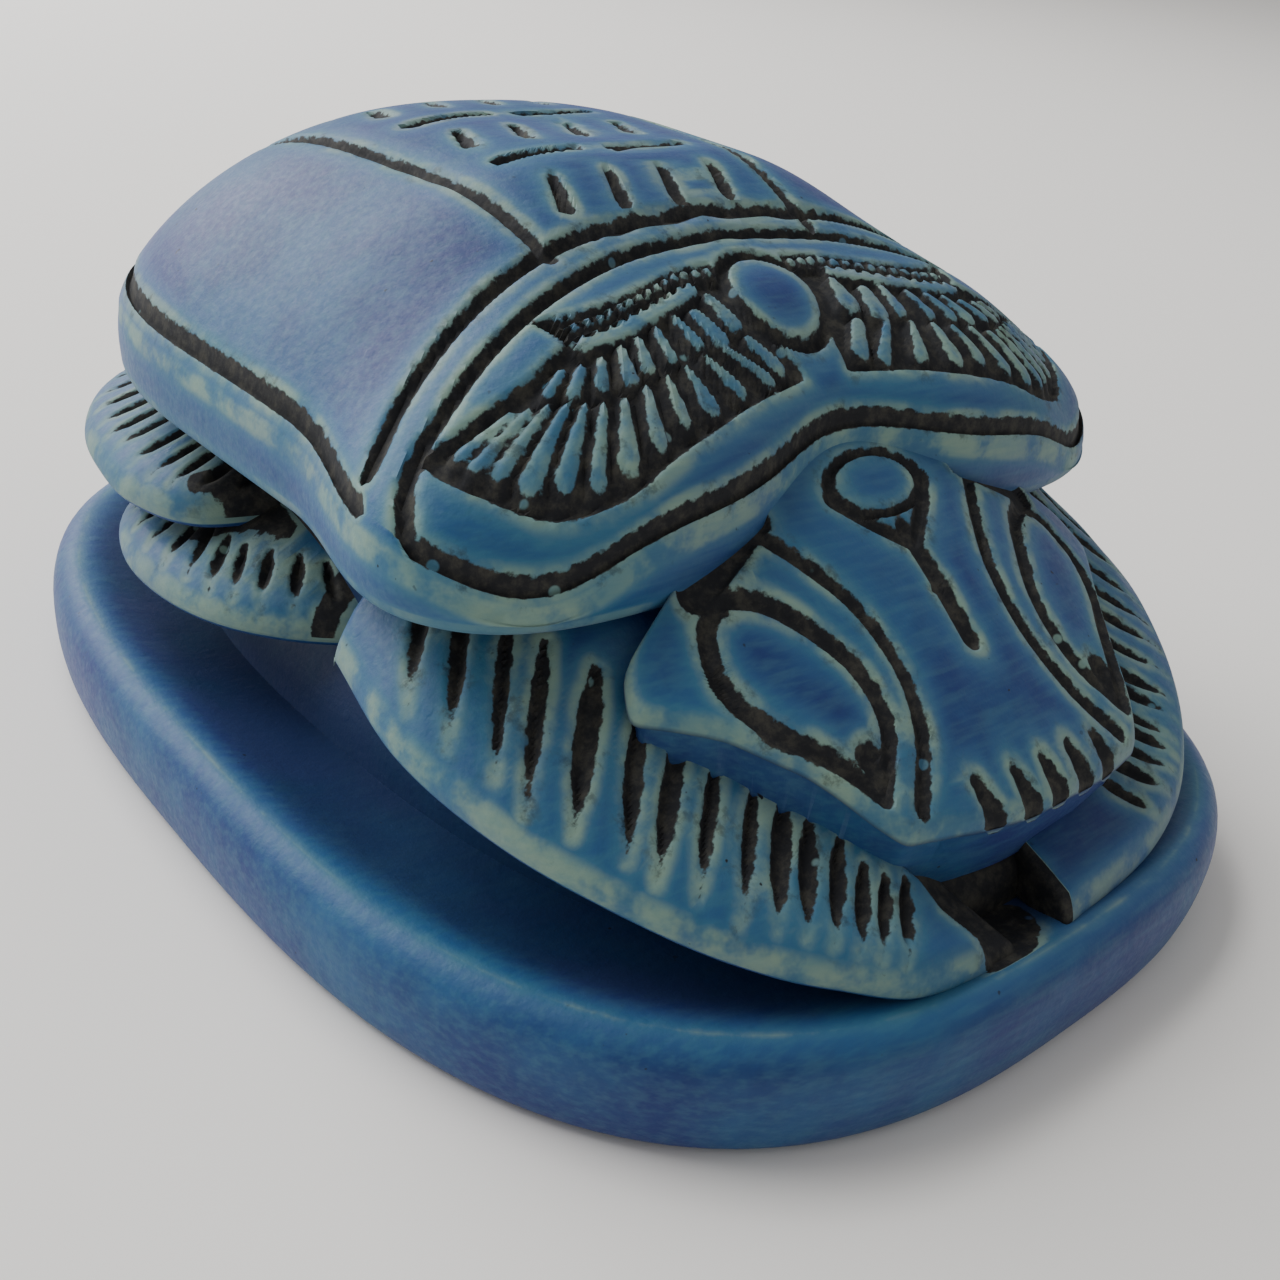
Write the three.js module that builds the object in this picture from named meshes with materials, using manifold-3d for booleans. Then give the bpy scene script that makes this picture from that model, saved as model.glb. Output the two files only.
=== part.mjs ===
// Scarab paperweight, cast in one piece: an oval base, three pairs of ribbed legs, a domed wing case with
// a pronotum in front of it, and a sloping head. Millimetres, +Z up, head towards -Y, origin at the centre
// of the flat underside.
import * as THREE from 'three';
import { mergeVertices } from 'three/addons/utils/BufferGeometryUtils.js';
import Module from 'manifold-3d';

const wasm = await Module();
wasm.setup();

// Driving dimensions
const LENGTH = 90;
const WIDTH = 70.4;
const HALF_LENGTH = LENGTH / 2;
const HALF_WIDTH = WIDTH / 2;

// Base: a plinth with a rounded rim and a dished top
const BASE_POWER = 2.8;
const BASE_TAPER = 0.05;
const RIM_Z = 7.2;
const DISH_Z = 5.6;
const BASE_SIDES = 36;

// Wing case and pronotum: one shell with an upright band round its edge
const SHELL_CENTRE_Y = 10.5;
const SHELL_HALF_WIDTH = 28.5;
const PRONOTUM_WIDENING = 3.4;
const SHELL_REAR = 27.5;
const SHELL_FRONT = 33;
const REAR_POWER = 2.43;
const FRONT_POWER = 6.4;
const NOTCH_DEPTH = 3.2;
const NOTCH_WIDTH = 8;
const BAND_BOTTOM_Z = 22.8;
const BAND_TOP_Z = 26.8;
const BAND_TOP_RISE = 2;
const LOBE_DROP = 3.2;
const LOBE_X = 24.9;
const LOBE_WIDTH = 5.8;
const CREST_Z = 42.2;
const CREST_DROP = 0.17;
const DOME_POWERS = { rear: [2.35, 1.34], front: [2.1, 1.8] };
const SHELL_SIDES = 44;

// Head: a tapering wedge that slopes down to a toothed front edge
const HEAD_FRONT_Y = -38.7;
const HEAD_REAR_Y = -18;
const HEAD_FRONT_Z = 14.2;
const HEAD_REAR_Z = 29.6;
const HEAD_FLOOR_Z = 9;
const HEAD_MIDDLE_Y = -28;
const HEAD_CROWN = 3.6;
const HEAD_CROWN_X = 18;

// Carving: grooves and ribs are V-shaped, and their tools stand clear of the surface by SKIN
const SEAM_DEPTH = 0.9;
const GROOVE_DEPTH = 0.8;
const GROOVE_WIDTH = 1.1;
const RIB_DEPTH = 0.7;
const RIB_INNER_WIDTH = 1.3;
const RIB_OUTER_WIDTH = 0.3;
const SKIN = 1.2;

// The hollow between the front legs lies a little to one side, as the carver left it
const TIP_SHIFT = -2.2;
const TIP_START = 0.72;

const smooth = (from, to, value) => THREE.MathUtils.smoothstep(value, from, to);
const point = (x, y, z) => new THREE.Vector3(x, y, z);
const mirrored = (p) => point(-p.x, p.y, p.z);

// A closed body from rings with the same number of points, listed from the bottom up and anticlockwise
// seen from above, with a fan at each end
function bodyFromRings(rings) {
  const sides = rings[0].length;
  const positions = [];
  const indices = [];
  rings.flat().forEach((p) => positions.push(p.x, p.y, p.z));
  for (let ring = 0; ring + 1 < rings.length; ring++) {
    for (let side = 0; side < sides; side++) {
      const a = ring * sides + side;
      const b = ring * sides + (side + 1) % sides;
      indices.push(a, b, b + sides, a, b + sides, a + sides);
    }
  }
  const centre = (ring) => ring.reduce((sum, p) => sum.add(p), point(0, 0, 0)).divideScalar(sides);
  const first = centre(rings[0].map((p) => p.clone()));
  const last = centre(rings.at(-1).map((p) => p.clone()));
  const top = (rings.length - 1) * sides;
  positions.push(first.x, first.y, first.z, last.x, last.y, last.z);
  const firstIndex = rings.length * sides;
  for (let side = 0; side < sides; side++) {
    const next = (side + 1) % sides;
    indices.push(next, side, firstIndex, top + side, top + next, firstIndex + 1);
  }
  const geometry = new THREE.BufferGeometry();
  geometry.setAttribute('position', new THREE.Float32BufferAttribute(positions, 3));
  geometry.setIndex(indices);
  return geometry;
}

// Six times the signed volume: negative when the faces point inwards
function signedVolume(positions, indices) {
  const corner = (i) => point(positions[3 * i], positions[3 * i + 1], positions[3 * i + 2]);
  let sum = 0;
  for (let i = 0; i < indices.length; i += 3) {
    const [a, b, c] = [corner(indices[i]), corner(indices[i + 1]), corner(indices[i + 2])];
    sum += a.dot(b.cross(c));
  }
  return sum;
}

function manifoldFrom(geometry) {
  const merged = mergeVertices(geometry, 1e-4);
  const positions = Float32Array.from(merged.attributes.position.array);
  const indices = Uint32Array.from(merged.index.array);
  if (signedVolume(positions, indices) < 0) indices.reverse();
  return new wasm.Manifold(new wasm.Mesh({ numProp: 3, vertProperties: positions, triVerts: indices }));
}

function geometryFrom(manifold) {
  const mesh = manifold.getMesh();
  const geometry = new THREE.BufferGeometry();
  const positions = [];
  for (let i = 0; i < mesh.vertProperties.length; i += mesh.numProp) {
    positions.push(...mesh.vertProperties.slice(i, i + 3));
  }
  geometry.setAttribute('position', new THREE.Float32BufferAttribute(positions, 3));
  geometry.setIndex(Array.from(mesh.triVerts));
  return geometry;
}

function turns(sides) {
  return Array.from({ length: sides }, (_, i) => 2 * Math.PI * i / sides);
}

// Point of a superellipse of half-sizes 1 in the direction turn: power 2 is a circle, more is squarer
function superellipse(turn, power) {
  const [across, along] = [Math.cos(turn), Math.sin(turn)];
  const reach = (Math.abs(across) ** power + Math.abs(along) ** power) ** (-1 / power);
  return { across: reach * across, along: reach * along };
}

// Base
function basePoint(turn, inset, z) {
  const { across, along } = superellipse(turn, BASE_POWER);
  const taper = 1 - BASE_TAPER * along;
  return point((HALF_WIDTH * taper - inset) * across, (HALF_LENGTH - inset) * along, z);
}

function makeBase() {
  const profile = [
    [1.4, 0], [0.3, 1], [0, 5.8], [1.1, RIM_Z], [2.8, 6.9], [8, DISH_Z],
  ];
  const rings = profile.map(([inset, z]) => turns(BASE_SIDES).map((turn) => basePoint(turn, inset, z)));
  return manifoldFrom(bodyFromRings(rings));
}

// Shell
function shellHalfWidth(y) {
  return SHELL_HALF_WIDTH + PRONOTUM_WIDENING * smooth(2, 17, -y);
}

function notch(x, y) {
  return NOTCH_DEPTH * Math.exp(-((x / NOTCH_WIDTH) ** 2)) * smooth(8, 20, -y);
}

function shellPlan(turn, reach) {
  const front = Math.sin(turn) < 0;
  const power = front ? FRONT_POWER : REAR_POWER;
  const length = front ? SHELL_FRONT : SHELL_REAR;
  const { across, along } = superellipse(turn, power);
  const y = SHELL_CENTRE_Y + reach * length * along;
  const x = reach * shellHalfWidth(y) * across;
  return point(x, y + notch(x, y), 0);
}

function shellReach(x, y) {
  const along = y - notch(x, y) - SHELL_CENTRE_Y;
  const power = along < 0 ? FRONT_POWER : REAR_POWER;
  const length = along < 0 ? SHELL_FRONT : SHELL_REAR;
  const width = shellHalfWidth(y - notch(x, y));
  return (Math.abs(x / width) ** power + Math.abs(along / length) ** power) ** (1 / power);
}

function bandTop(x, y) {
  const middle = BAND_TOP_RISE * Math.exp(-((x / 10) ** 2));
  const lobe = LOBE_DROP * Math.exp(-(((Math.abs(x) - LOBE_X) / LOBE_WIDTH) ** 2));
  return BAND_TOP_Z + (middle - lobe) * smooth(0, 20, -y);
}

function shellTop(x, y) {
  const reach = Math.min(shellReach(x, y), 1);
  const front = smooth(0, 14, -y);
  const [inner, outer] = [0, 1].map((i) => (
    THREE.MathUtils.lerp(DOME_POWERS.rear[i], DOME_POWERS.front[i], front)));
  const rise = (1 - reach ** inner) ** (1 / outer);
  const crest = 1 - CREST_DROP * smooth(-3, 10, -y);
  return bandTop(x, y) + (CREST_Z - bandTop(x, y)) * crest * rise;
}

// Depth of the seam that runs round the top of the band, left out beside the corners of the pronotum
function seamDepth(turn) {
  const corner = Math.min(Math.abs(turn - 1.787 * Math.PI), Math.abs(turn - 1.213 * Math.PI));
  return SEAM_DEPTH * smooth(0.02, 0.07, corner);
}

function makeShell() {
  const ringAt = (reach, height) => turns(SHELL_SIDES).map((turn) => {
    const p = shellPlan(turn, reach);
    return p.setZ(height(p.x, p.y, turn));
  });
  const rings = [
    ringAt(0.7, () => BAND_BOTTOM_Z + 1),
    ringAt(0.965, () => BAND_BOTTOM_Z),
    ringAt(0.988, () => BAND_BOTTOM_Z + 0.7),
    ringAt(0.988, (x, y) => bandTop(x, y) + 0.4),
    ringAt(0.981, shellTop),
    ringAt(0.97, (x, y, turn) => shellTop(x, y) - seamDepth(turn)),
    ...[0.957, 0.9, 0.78, 0.58, 0.3].map((reach) => ringAt(reach, shellTop)),
  ];
  return manifoldFrom(bodyFromRings(rings));
}

// Head
function headTop(x, y) {
  const along = THREE.MathUtils.clamp((y - HEAD_FRONT_Y) / (HEAD_REAR_Y - HEAD_FRONT_Y), 0, 1);
  const ridge = HEAD_FRONT_Z + (HEAD_REAR_Z - HEAD_FRONT_Z) * along ** 0.9;
  return ridge - HEAD_CROWN * (Math.abs(x) / HEAD_CROWN_X) ** 2.5 * Math.sqrt(along + 0.05);
}

const HEAD_HALF_OUTLINE = [
  [0, -39.0], [6, -39.0], [10.8, -38.4], [12.3, -36.8], [14.6, -33], [17.6, -29.2], [21.6, -25.6],
  [20.6, -23.6], [16, -22], [14.5, -18], [0, -17],
];

function headOutline() {
  const right = HEAD_HALF_OUTLINE.map(([x, y]) => point(x, y, 0));
  const left = right.slice(1, -1).reverse().map(mirrored);
  const corners = [...right, ...left];
  const steps = 2;
  return corners.flatMap((corner, i) => {
    const next = corners[(i + 1) % corners.length];
    return Array.from({ length: steps }, (_, k) => corner.clone().lerp(next, k / steps));
  });
}

function makeHead() {
  const centre = point(0, HEAD_MIDDLE_Y, 0);
  const outline = headOutline();
  const ringAt = (scale, height) => outline.map((p) => {
    const q = centre.clone().lerp(p, scale);
    return q.setZ(height(q.x, q.y));
  });
  const rings = [
    ringAt(0.9, () => HEAD_FLOOR_Z),
    ringAt(0.96, (x, y) => headTop(x, y) - 2.4),
    ringAt(1, (x, y) => headTop(x, y) - 0.9),
    ringAt(0.97, headTop),
    ...[0.78, 0.4].map((scale) => ringAt(scale, headTop)),
  ];
  return manifoldFrom(bodyFromRings(rings));
}

// Legs: each is a slab whose top falls from a root under the shell to a thin outer edge
const LEGS = {
  front: {
    edge: [[29.6, -9.5, 18.8], [31, -18, 17.4], [29.6, -25.5, 15.8], [26.4, -31.2, 14], [22.6, -35.6, 12.2],
      [18, -39, 10.6], [12.5, -41.4, 9.4], [2, -42.6, 8.5]],
    root: [[20, -6, 26], [20, -15, 26], [15, -21, 22.4], [11, -26, 18], [9, -30, 15.4],
      [8, -34, 13.2], [6, -36, 11.6], [3.3, -37, 10]],
    thickness: 1.6,
    ribs: 14,
    ribSpan: [0.08, 0.84],
    ribReach: [0.45, 0.93],
    ribLean: 0.09,
  },
  middle: {
    edge: [[20, -4, 14.2], [26, 1, 13.8], [29, 5.5, 13.6], [30.2, 11, 13.4], [29.6, 17.5, 13.2],
      [26.6, 23.5, 13], [20, 27, 12.8]],
    root: [[14, -2, 18], [18, 2, 18], [20, 6, 18], [21, 10, 18], [20.5, 14, 18], [19, 18, 18],
      [14, 20, 17]],
    thickness: 1.5,
    ribs: 9,
    ribSpan: [0.24, 0.86],
    ribReach: [0.5, 0.94],
    ribLean: -0.1,
  },
  hind: {
    edge: [[20, 9, 18.2], [27.6, 11, 18.2], [29.6, 16, 18.1], [29, 22.5, 18], [27, 29, 17.8],
      [22.6, 35.5, 17.4], [15, 40, 16.8], [2, 41.6, 16.4]],
    root: [[18, 9, 22], [20, 12, 22], [20, 16, 22], [20, 21, 22], [18, 26, 22], [15, 30, 22], [10, 33, 21],
      [1, 34, 20]],
    thickness: 1.6,
    ribs: 9,
    ribSpan: [0.1, 0.86],
    ribReach: [0.45, 0.94],
    ribLean: 0,
  },
};
const LEG_STATIONS = 10;
const EDGE_START = 0.85;
const EDGE_DROP = 0.6;
const UNDER_REACH = 0.94;

function curveThrough(points, side) {
  const curve = new THREE.CatmullRomCurve3(points.map(([x, y, z]) => point(x, y, z)), false, 'centripetal');
  return (s) => {
    const p = curve.getPoint(s);
    return side < 0 ? mirrored(p) : p;
  };
}

function legSurface(leg, side) {
  const edge = curveThrough(leg.edge, side);
  const root = curveThrough(leg.root, side);
  const tipShift = leg === LEGS.front ? TIP_SHIFT : 0;
  return (s, reach) => {
    const p = root(s).lerp(edge(s), reach);
    p.x += tipShift * smooth(TIP_START, 1, s);
    p.z -= EDGE_DROP * Math.max(0, reach - EDGE_START) / (1 - EDGE_START);
    return p;
  };
}

function makeLeg(leg, side) {
  const surface = legSurface(leg, side);
  const sections = Array.from({ length: LEG_STATIONS }, (_, i) => {
    const s = i / (LEG_STATIONS - 1);
    const top = [0, EDGE_START, 1].map((reach) => surface(s, reach));
    const under = [UNDER_REACH, 0].map((reach) => {
      const p = surface(s, reach);
      return p.setZ(surface(s, 1).z - leg.thickness);
    });
    const section = [...top, ...under];
    return side < 0 ? section.reverse() : section;
  });
  return manifoldFrom(bodyFromRings(sections));
}

// Waist: the dark recessed part that joins the base, the legs and the shell
const WAIST = [
  { z: DISH_Z - 1, halfX: 25, front: -38.5, rear: 37 },
  { z: 8, halfX: 24.5, front: -38, rear: 36.5 },
  { z: 14, halfX: 22.5, front: -31, rear: 33 },
  { z: BAND_BOTTOM_Z + 1.2, halfX: 22, front: -21, rear: 31 },
];

const WAIST_POWER = 2.5;
const WAIST_SIDES = 18;

function makeWaist() {
  const rings = WAIST.map(({ z, halfX, front, rear }) => turns(WAIST_SIDES).map((turn) => {
    const { across, along } = superellipse(turn, WAIST_POWER);
    return point(halfX * across, (front + rear) / 2 + (rear - front) / 2 * along, z);
  }));
  return manifoldFrom(bodyFromRings(rings));
}

// A tool that cuts a V-shaped groove along a path on a surface, with its upper side clear above the skin
function makeGroove(path, surface, widthAt, depth) {
  const spread = (depth + SKIN) / depth / 2;
  const sections = path.map((p, i) => {
    const before = path[Math.max(i - 1, 0)];
    const after = path[Math.min(i + 1, path.length - 1)];
    const across = point(after.y - before.y, before.x - after.x, 0).normalize();
    const reach = widthAt(i / (path.length - 1)) * spread;
    const skin = surface(p.x, p.y);
    return [
      point(p.x + across.x * reach, p.y + across.y * reach, skin + SKIN),
      point(p.x - across.x * reach, p.y - across.y * reach, skin + SKIN),
      point(p.x, p.y, skin - depth),
    ];
  });
  return manifoldFrom(bodyFromRings(sections));
}

function pathThrough(points, steps) {
  const curve = new THREE.CatmullRomCurve3(points.map(([x, y]) => point(x, y, 0)), false, 'centripetal');
  return curve.getPoints(steps);
}

const evenWidth = (width) => () => width;
const leafWidth = (width) => (s) => width * (0.15 + 0.85 * Math.sin(Math.PI * s));
const bothSides = (points) => [points, points.map(([x, y]) => [-x, y])];
const acrossMiddle = (half) => [...half.slice(1).reverse().map(([x, y]) => [-x, y]), ...half];

// Grooves of the wing case: two lines behind the wings and the two sides of the panel
const REAR_LINE = [[0, -4], [11, -5.2], [20, -7.2], [25.2, -9], [28.6, -11]];
const FRONT_LINE = [[0, -6.2], [9, -7.2], [18.6, -9.9], [24.2, -11.8], [29, -13.6]];
const PANEL_HALF_WIDTH = 11.2;
const PANEL_SHIFT = -2.5;
const PANEL_FRONT_Y = -5;
const PANEL_REAR_Y = 33;

function shellGrooves() {
  const line = (points, steps) => (
    makeGroove(pathThrough(points, steps), shellTop, evenWidth(GROOVE_WIDTH), GROOVE_DEPTH));
  const panelSide = (side) => {
    const x = PANEL_SHIFT + side * PANEL_HALF_WIDTH;
    return line([[x, PANEL_FRONT_Y], [x + side, PANEL_REAR_Y / 2], [x, PANEL_REAR_Y]], 5);
  };
  return [line(acrossMiddle(REAR_LINE), 9), line(acrossMiddle(FRONT_LINE), 9), panelSide(-1), panelSide(1)];
}

// Rows of plain strokes between the two sides of the panel
const ROW_COUNT = 6;
const ROW_PITCH = 5;
const FIRST_ROW_Y = PANEL_FRONT_Y + 3.6;
const ROW_MARGIN = 2;
const STROKE_WIDTH = 1;
const STROKE_DEPTH = 0.6;

function panelStrokes() {
  const rows = Array.from({ length: ROW_COUNT }, (_, row) => {
    const y = FIRST_ROW_Y + row * ROW_PITCH;
    const upright = row % 2 === 0;
    const count = upright ? 4 : 2;
    const pitch = 2 * (PANEL_HALF_WIDTH - ROW_MARGIN) / count;
    const [halfX, halfY] = upright ? [0.5, 1.4] : [0.36 * pitch, 0.2];
    return Array.from({ length: count }, (_unused, i) => {
      const x = PANEL_SHIFT + (i - (count - 1) / 2) * pitch;
      const path = pathThrough([[x - halfX, y - halfY], [x + halfX, y + halfY]], 2);
      return makeGroove(path, shellTop, leafWidth(STROKE_WIDTH), STROKE_DEPTH);
    });
  });
  return rows.flat();
}

// Winged disc: a fan of feathers in two rows on each side of a round boss
const DISC = { x: 0, y: -11.8, radius: 3.4 };
const WING_TIP = [27.8, -14.8];
const WING_TOP = [[4.6, -9.6], [10.5, -10.6], [18, -11.6], WING_TIP];
const WING_MIDDLE = [[4.6, -12.6], [9.8, -14.6], [15.4, -16.2], [20.8, -15.8], WING_TIP];
const WING_FOOT = [[4, -16.4], [10, -18.6], [15, -19.8], [20.5, -20.6], [25, -19.4], WING_TIP];
const LOWER_FEATHERS = 7;
const UPPER_FEATHERS = 5;
const WING_STEPS = 40;
const FEATHER_DEPTH = 0.55;
const FEATHER_GAP = [0.35, 1.1];

function featherGaps(from, to, count, side) {
  const start = pathThrough(from, WING_STEPS);
  const end = pathThrough(to, WING_STEPS);
  const mirror = (p) => [side * p.x, p.y];
  const width = (s) => THREE.MathUtils.lerp(FEATHER_GAP[0], FEATHER_GAP[1], s);
  return Array.from({ length: count }, (_, i) => {
    const at = Math.round(WING_STEPS * (i + 0.6) / (count + 1.4));
    const path = pathThrough([mirror(start[at]), mirror(end[at])], 1);
    return makeGroove(path, shellTop, width, FEATHER_DEPTH);
  });
}

// Half of the ring round the disc: above 0 is its rear half, below 0 its front half
function discRing(half) {
  const arc = [0, 1, 2, 3, 4, 5, 6].map((i) => {
    const turn = half * Math.PI * i / 6;
    return point(DISC.x + DISC.radius * Math.cos(turn), DISC.y + DISC.radius * Math.sin(turn), 0);
  });
  return makeGroove(arc, shellTop, evenWidth(GROOVE_WIDTH), 0.7);
}

function discAndWings() {
  const rim = (points, steps) => bothSides(points).map((half) => (
    makeGroove(pathThrough(half, steps), shellTop, evenWidth(0.8), 0.6)));
  return [
    discRing(1),
    discRing(-1),
    ...rim(WING_TOP, 4),
    ...rim(WING_MIDDLE, 4),
    ...rim(WING_FOOT, 5),
    ...[-1, 1].flatMap((side) => [
      ...featherGaps(WING_MIDDLE, WING_FOOT, LOWER_FEATHERS, side),
      ...featherGaps(WING_TOP, WING_MIDDLE, UPPER_FEATHERS, side),
    ]),
  ];
}

// Head carving: eyes, the curved lines beside them, the Y below the small oval, and the notches in front
const EYE_OUTER = [[14.3, -24], [16.6, -26.8], [15.2, -31], [11.2, -36.2]];
const EYE_INNER = [[14.3, -24], [10.6, -26.8], [8.7, -31.4], [11.2, -36.2]];
const HEAD_LINE = [[9.8, -22.3], [7.4, -26], [5.9, -30.5], [6.7, -34.6], [9.2, -37.6]];
const MIDDLE_X = 0.8;
const OVAL = { y: -21.6, halfX: 3.8, halfY: 1.7 };
const Y_ARM = [[4.6, -21.6], [2.6, -24], [0, -25.6]];
const Y_STEM = [[MIDDLE_X, -25.2], [MIDDLE_X, -31]];
const TOOTH_FIRST_X = -4.6;
const TOOTH_PITCH = 3.05;
const TOOTH_COUNT = 5;
const TOOTH_FRONT_Y = -40.4;
const TOOTH_REAR_Y = -36.4;

function headCarving() {
  const line = (points, steps, width, depth) => (
    makeGroove(pathThrough(points, steps), headTop, evenWidth(width), depth));
  const oval = [0, 1, 2, 3, 4, 5, 6].map((i) => {
    const turn = Math.PI * i / 6;
    return [MIDDLE_X + OVAL.halfX * Math.cos(turn), OVAL.y + OVAL.halfY * Math.sin(turn)];
  });
  const arms = [-1, 1].map((side) => Y_ARM.map(([x, y]) => [MIDDLE_X + side * x, y]));
  const notches = Array.from({ length: TOOTH_COUNT }, (_, i) => {
    const x = TOOTH_FIRST_X + i * TOOTH_PITCH;
    const path = pathThrough([[x, TOOTH_FRONT_Y], [x, TOOTH_REAR_Y]], 1);
    return makeGroove(path, headTop, (s) => 1.9 - 1.5 * s, 1.1);
  });
  return [
    ...bothSides(EYE_OUTER).map((points) => line(points, 4, 1.2, 0.9)),
    ...bothSides(EYE_INNER).map((points) => line(points, 4, 1.2, 0.9)),
    ...bothSides(HEAD_LINE).map((points) => line(points, 4, 0.9, 0.8)),
    ...arms.map((points) => line(points, 2, 1.2, 0.8)),
    line(oval, 5, 1, 0.7),
    line(Y_STEM, 1, 1.1, 0.8),
    ...notches,
  ];
}

// Ribs of a leg: leaf-shaped cuts across its top, blunt near the root and pointed near the edge
function legRibs(leg, side) {
  const surface = legSurface(leg, side);
  const spread = (RIB_DEPTH + SKIN) / RIB_DEPTH / 2;
  const widths = [RIB_INNER_WIDTH * spread, RIB_OUTER_WIDTH * spread];
  return Array.from({ length: leg.ribs }, (_, i) => {
    const s = THREE.MathUtils.lerp(leg.ribSpan[0], leg.ribSpan[1], i / (leg.ribs - 1));
    const ends = leg.ribReach.map((reach, k) => surface(s + k * leg.ribLean, reach));
    const outward = ends[1].clone().sub(ends[0]).normalize();
    const edgeward = surface(s + 0.03, 0.7).sub(surface(s - 0.03, 0.7));
    const normal = outward.clone().cross(edgeward).normalize();
    if (normal.z < 0) normal.negate();
    const across = normal.clone().cross(outward);
    const sections = ends.map((p, k) => [
      p.clone().addScaledVector(across, widths[k]).addScaledVector(normal, SKIN),
      p.clone().addScaledVector(across, -widths[k]).addScaledVector(normal, SKIN),
      p.clone().addScaledVector(normal, -RIB_DEPTH),
    ]);
    return manifoldFrom(bodyFromRings(sections));
  });
}

const carve = (solid, cuts) => cuts.reduce((left, cut) => left.subtract(cut), solid);

let body = makeBase().add(makeWaist());
for (const side of [-1, 1]) {
  for (const leg of Object.values(LEGS)) body = body.add(carve(makeLeg(leg, side), legRibs(leg, side)));
}
body = body.add(carve(makeShell(), [...shellGrooves(), ...panelStrokes(), ...discAndWings()]));
body = body.add(carve(makeHead(), headCarving()));

const glaze = new THREE.MeshStandardMaterial({ color: 0x4a84a8, roughness: 0.55, metalness: 0 });
const scarab = new THREE.Mesh(geometryFrom(body), glaze);
scarab.name = 'scarab';

const group = new THREE.Group();
group.add(scarab);

export default group;
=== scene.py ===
"""Scarab paperweight: a single casting with black paint in its carving, worn pale along its edges.

Shapes are worked out in millimetres, in the frame's axes: +Z up, the head towards -Y. Meshes are in metres.
"""

import bpy
import numpy as np
from mathutils import Matrix, Vector


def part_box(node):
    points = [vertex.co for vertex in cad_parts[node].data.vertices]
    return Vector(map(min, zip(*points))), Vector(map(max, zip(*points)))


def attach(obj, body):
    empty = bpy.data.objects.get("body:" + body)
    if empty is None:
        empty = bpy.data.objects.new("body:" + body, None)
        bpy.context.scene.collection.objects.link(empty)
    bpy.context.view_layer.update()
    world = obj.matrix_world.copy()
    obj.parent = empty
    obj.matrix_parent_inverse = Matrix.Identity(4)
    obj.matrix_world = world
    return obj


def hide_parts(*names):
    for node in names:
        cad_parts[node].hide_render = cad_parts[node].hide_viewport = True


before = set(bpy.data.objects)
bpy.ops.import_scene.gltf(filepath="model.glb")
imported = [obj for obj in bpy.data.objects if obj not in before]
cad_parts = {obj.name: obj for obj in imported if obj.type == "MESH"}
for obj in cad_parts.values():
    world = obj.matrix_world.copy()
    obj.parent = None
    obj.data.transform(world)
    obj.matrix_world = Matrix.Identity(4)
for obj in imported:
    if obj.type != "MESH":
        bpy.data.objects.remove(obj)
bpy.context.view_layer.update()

# Base: an oval plinth with a soft rounded rim and a dished top, the lowest part of the casting. Its lower
# edge is worn. Its profile is a list of insets and heights, from the underside over the rim to the dished
# top. Black paint lies on it in a ragged patch between the front legs, whose outline in plan is HOLLOW.
MM = 0.001
LOW, HIGH = [np.array(corner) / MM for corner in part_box("scarab")]
HALF_WIDTH = (HIGH[0] - LOW[0]) / 2
HALF_LENGTH = (HIGH[1] - LOW[1]) / 2
BASE_POWER = 2.8
BASE_TAPER = 0.05
BASE_PROFILE = [
    (2.6, 0), (1.2, 0.1), (0.5, 0.6), (0.15, 1.8), (0, 3.6), (0.05, 5), (0.45, 6.3), (1.4, 7.1),
    (2.6, 7.15), (4.4, 6.6), (7, 5.9), (11, 5.6), (18, 5.6),
]
# RIM_AT is how far along the profile the rim's crest lies. The top turns navy between two insets, as painted
# shade under the legs.
RIM_AT = 0.62
RIM_WEAR = 0.5
SHADE_FROM = 2.4
SHADE_AT = 5.2
BASE_SIDES = 220
BASE_RINGS = 40
HOLLOW = [
    (-10.5, -35.5), (-9.0, -37.6), (-8.9, -39.2), (-8.2, -40.8), (-7.9, -42.2), (-7.0, -42.9), (-6.1, -43.3),
    (-4.9, -42.9), (-3.9, -43.1), (-2.7, -42.1), (-1.3, -41.7), (-0.6, -40.6), (0.3, -39.5), (-0.6, -38),
    (0.6, -35.5),
]
# Paint is given as a depth in mm inside its patch, and is negative outside it, where CLEAR is far away.
CLEAR = -4.0
FAR = 1e3


def smooth(start, end, value):
    """0 before start and 1 after end, with an S-shaped rise between them."""
    t = np.clip((value - start) / (end - start), 0, 1)
    return t * t * (3 - 2 * t)


def superellipse(turn, power):
    """Point in the direction turn of a superellipse of half-sizes 1, where power 2 is a circle and a higher
    power is squarer: the direction divided by the power root of the sum of its parts to that power."""
    across, along = np.cos(turn), np.sin(turn)
    reach = (np.abs(across) ** power + np.abs(along) ** power) ** (-1 / power)
    return across * reach, along * reach


def curve_through(points, at):
    """Centripetal Catmull-Rom curve through points: on each span a cubic whose slopes come from the
    neighbouring points, weighted by the square root of the distances. at runs from 0 to 1 over the spans."""
    p = np.array(points, dtype=float)
    p = np.vstack([2 * p[0] - p[1], p, 2 * p[-1] - p[-2]])
    where = np.clip(np.asarray(at, dtype=float), 0, 1) * (len(points) - 1)
    span = np.minimum(where.astype(int), len(points) - 2)
    t = (where - span)[..., None]
    a, b, c, d = (p[span + k] for k in range(4))
    gap = [np.sqrt(np.linalg.norm(e - f, axis=-1, keepdims=True)) for e, f in ((b, a), (c, b), (d, c))]
    start = ((b - a) / gap[0] - (c - a) / (gap[0] + gap[1]) + (c - b) / gap[1]) * gap[1]
    end = ((c - b) / gap[1] - (d - b) / (gap[1] + gap[2]) + (d - c) / gap[2]) * gap[1]
    return (b + start * t + (3 * (c - b) - 2 * start - end) * t**2
            + (2 * (b - c) + start + end) * t**3)


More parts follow.
